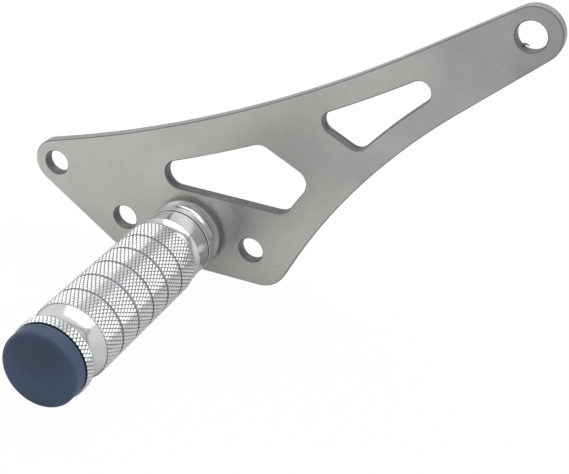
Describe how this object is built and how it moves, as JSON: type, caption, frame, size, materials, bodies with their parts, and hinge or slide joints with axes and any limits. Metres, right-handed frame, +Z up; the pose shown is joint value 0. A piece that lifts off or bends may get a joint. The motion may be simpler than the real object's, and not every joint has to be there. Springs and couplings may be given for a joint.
{
  "type": "stunt foot lock bracket",
  "caption": "Flat motorcycle side bracket with two lightening windows, frame bolt holes and a knurled foot peg with a dark end cap.",
  "frame": {"origin": "on the plate's back face, on the peg's axis, midway between the two frame bolt holes", "axes": "+X along the frame bolts towards the long arm, +Z up, +Y out of the back face, the peg points along -Y"},
  "size_m": [0.1729, 0.1087, 0.113],
  "materials": {
    "plate_metal": "satin, tumbled",
    "peg_metal": "polished, knurled",
    "cap_plastic": "matt, moulded",
    "fixing_steel": "zinc plated"
  },
  "bodies": {
    "root": {"bracket_plate": "plate_metal", "peg_body": "peg_metal", "end_cap": "cap_plastic", "peg_washer": "fixing_steel", "peg_screw": "fixing_steel"}
  },
  "joints": []
}
